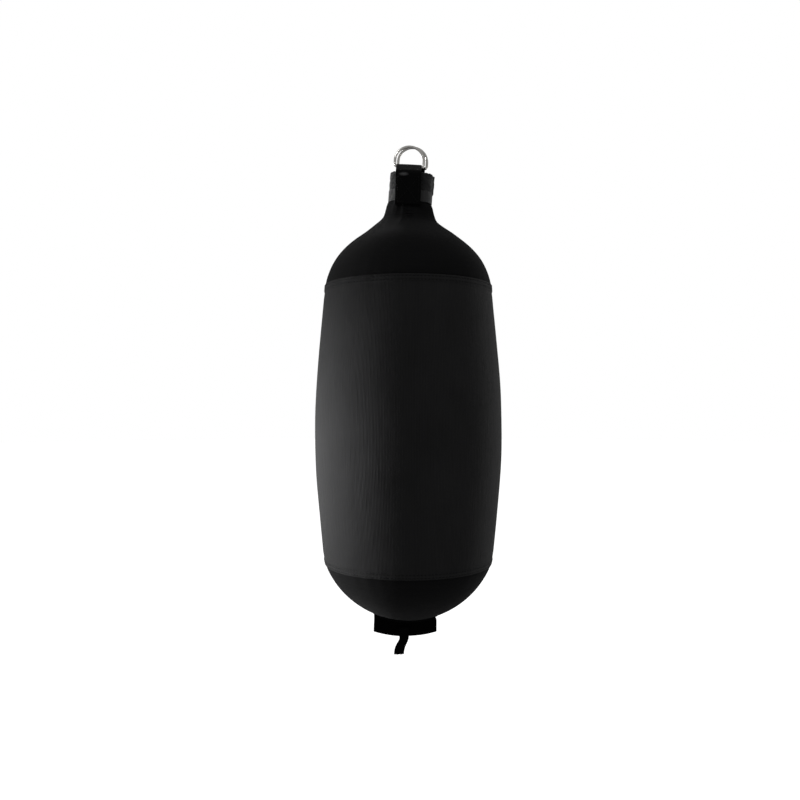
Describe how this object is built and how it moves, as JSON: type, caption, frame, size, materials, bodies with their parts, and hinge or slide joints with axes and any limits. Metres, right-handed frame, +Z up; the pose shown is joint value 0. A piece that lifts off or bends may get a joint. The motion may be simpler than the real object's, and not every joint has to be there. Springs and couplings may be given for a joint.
{
  "type": "inflatable textile boat fender",
  "caption": "Bulging black textile-covered inflatable boat fender with a gathered neck, twin steel D-rings on webbing, and a hook-and-loop closed base with a pull tab.",
  "frame": {"origin": "inner top of the D-rings' bows, where the hanging line passes", "axes": "+Z up along the fender, -Y the front with the strap that the camera faces, +X to the right of the front"},
  "size_m": [0.29, 0.2902, 0.7934],
  "materials": {
    "cover_fabric": "matt black woven cover fabric with a fine rib",
    "panel_fabric": "matt black woven fabric, darker and closer than the body's",
    "webbing": "black polyester webbing",
    "grey_webbing": "dark grey polyester webbing",
    "loop_fabric": "black brushed loop tape",
    "hook_fabric": "black moulded hook tape",
    "thread": "black sewing thread",
    "foam": "closed-cell foam",
    "steel": "polished stainless steel",
    "spring_steel": "stainless spring wire",
    "film": "translucent polyurethane film",
    "valve_plastic": "moulded black plastic",
    "rubber": "soft black rubber"
  },
  "bodies": {
    "fender": {"shoulder_panel": "panel_fabric", "body_panel": "cover_fabric", "base_panel": "panel_fabric", "top_seam_tape": "webbing", "bottom_seam_tape": "webbing", "back_seam_tape": "webbing", "mouth_binding": "webbing", "top_seam_stitching": "thread", "bottom_seam_stitching": "thread", "back_seam_stitching": "thread", "neck_core": "foam", "neck_cap": "panel_fabric", "upper_neck_band": "loop_fabric", "lower_neck_band": "grey_webbing", "front_ring_strap": "webbing", "rear_ring_strap": "webbing", "front_strap_stitching": "thread", "rear_strap_stitching": "thread", "bladder": "film", "valve_flange": "film", "valve_housing": "valve_plastic", "poppet_spring": "spring_steel", "cap_tether": "rubber"},
    "ring_front": {"front_d_ring": "steel"},
    "ring_rear": {"rear_d_ring": "steel"},
    "flap_front": {"front_closure_flap": "panel_fabric", "hook_tape": "hook_fabric", "front_flap_stitching": "thread", "pull_tab_stitching": "thread"},
    "flap_rear": {"rear_closure_flap": "panel_fabric", "loop_tape": "loop_fabric", "rear_flap_stitching": "thread"},
    "tab": {"pull_tab": "webbing"},
    "cap": {"valve_cap": "valve_plastic", "cap_seal": "rubber"},
    "poppet": {"valve_poppet": "valve_plastic", "poppet_seal": "rubber"}
  },
  "joints": [
    {"name": "ring_front_swing", "type": "hinge", "parent": "fender", "child": "ring_front", "pos_m": [-0.0025, -0.0044, -0.03], "axis": [0.999, 0, -0.0454], "range_deg": [0, 95]},
    {"name": "ring_rear_swing", "type": "hinge", "parent": "fender", "child": "ring_rear", "pos_m": [0.0025, 0.0044, -0.03], "axis": [-0.999, 0, 0.0454], "range_deg": [0, 95]},
    {"name": "flap_front_open", "type": "hinge", "parent": "fender", "child": "flap_front", "pos_m": [-0.0083, -0.01815, -0.7322], "axis": [-1, 0, 0], "range_deg": [0, 100]},
    {"name": "flap_rear_open", "type": "hinge", "parent": "fender", "child": "flap_rear", "pos_m": [-0.0083, 0.01815, -0.7322], "axis": [1, 0, 0], "range_deg": [0, 100]},
    {"name": "pull_tab_swing", "type": "hinge", "parent": "flap_front", "child": "tab", "pos_m": [-0.0104, -0.0021, -0.762], "axis": [1, 0, 0], "range_deg": [-60, 60]},
    {"name": "cap_unscrew", "type": "slide", "parent": "fender", "child": "cap", "axis": [0, 0, -1], "range_m": [0, 0.0055]},
    {"name": "poppet_push", "type": "slide", "parent": "fender", "child": "poppet", "axis": [0, 0, 1], "range_m": [0, 0.003], "stiffness_N_per_m": 400, "springref_m": -0.002, "deforming": ["poppet_spring"]}
  ]
}
